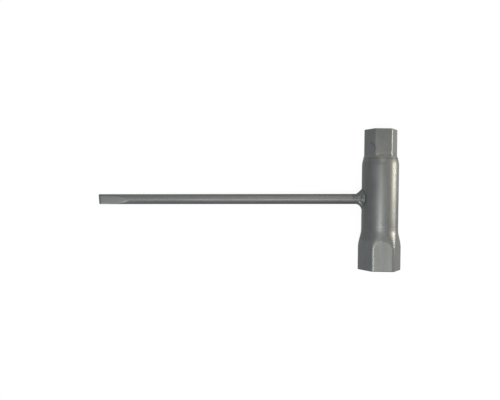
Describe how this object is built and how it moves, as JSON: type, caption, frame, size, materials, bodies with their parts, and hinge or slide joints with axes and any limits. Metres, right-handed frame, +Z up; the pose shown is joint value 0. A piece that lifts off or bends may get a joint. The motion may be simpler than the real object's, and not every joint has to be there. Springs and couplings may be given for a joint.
{
  "type": "spark plug wrench",
  "caption": "T-shaped spark plug wrench: a steel tube with a hexagon socket pressed into each end, and a round bar welded to its side that ends in a flat screwdriver blade.",
  "frame": {"origin": "on the bench below the middle of the wrench's bounding box, where it lies flat on the bar's end and both ends of the tube", "axes": "+X from the screwdriver blade to the tube, +Y along the tube from the large socket to the small one, +Z up from the bench"},
  "size_m": [0.1856, 0.0852, 0.0237],
  "materials": {
    "tube_steel": "satin grey coating on pressed steel tube",
    "bar_steel": "satin grey coating on drawn steel bar",
    "weld_metal": "rough grey weld metal"
  },
  "bodies": {
    "root": {"socket_tube": "tube_steel", "screwdriver_bar": "bar_steel", "weld_bead": "weld_metal"}
  },
  "joints": []
}
